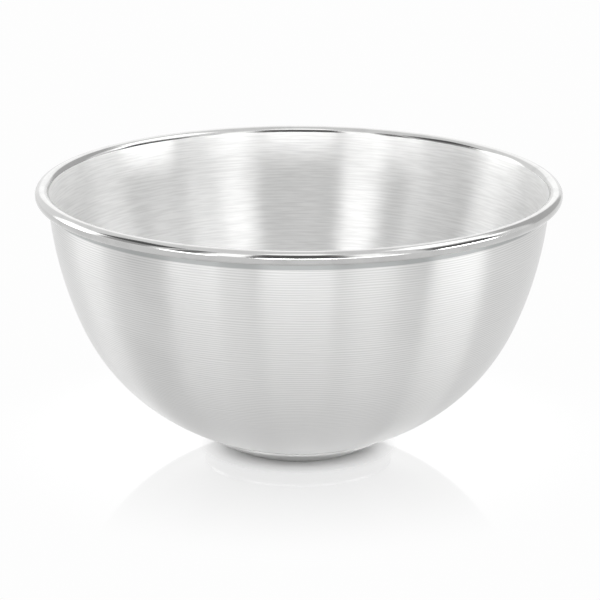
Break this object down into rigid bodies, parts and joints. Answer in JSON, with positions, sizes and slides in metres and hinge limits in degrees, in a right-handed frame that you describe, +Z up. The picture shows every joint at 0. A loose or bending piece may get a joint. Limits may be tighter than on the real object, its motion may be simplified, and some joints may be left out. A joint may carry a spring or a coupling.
{
  "type": "offering bowl",
  "caption": "Deep round offering bowl in brushed metal, open at the top, with an outward rolled edge stiffened by a wire and a low tapered foot ring.",
  "frame": {"origin": "centre of the plane that the foot rests on", "axes": "+Z up along the bowl's axis of revolution, towards its mouth"},
  "size_m": [0.2, 0.2, 0.1025],
  "materials": {
    "shell_metal": "brushed round the bowl, polished on the rolled edge",
    "wire_metal": "drawn wire",
    "foot_metal": "satin"
  },
  "bodies": {
    "root": {"bowl_shell": "shell_metal", "rim_wire": "wire_metal", "foot_ring": "foot_metal"}
  },
  "joints": []
}
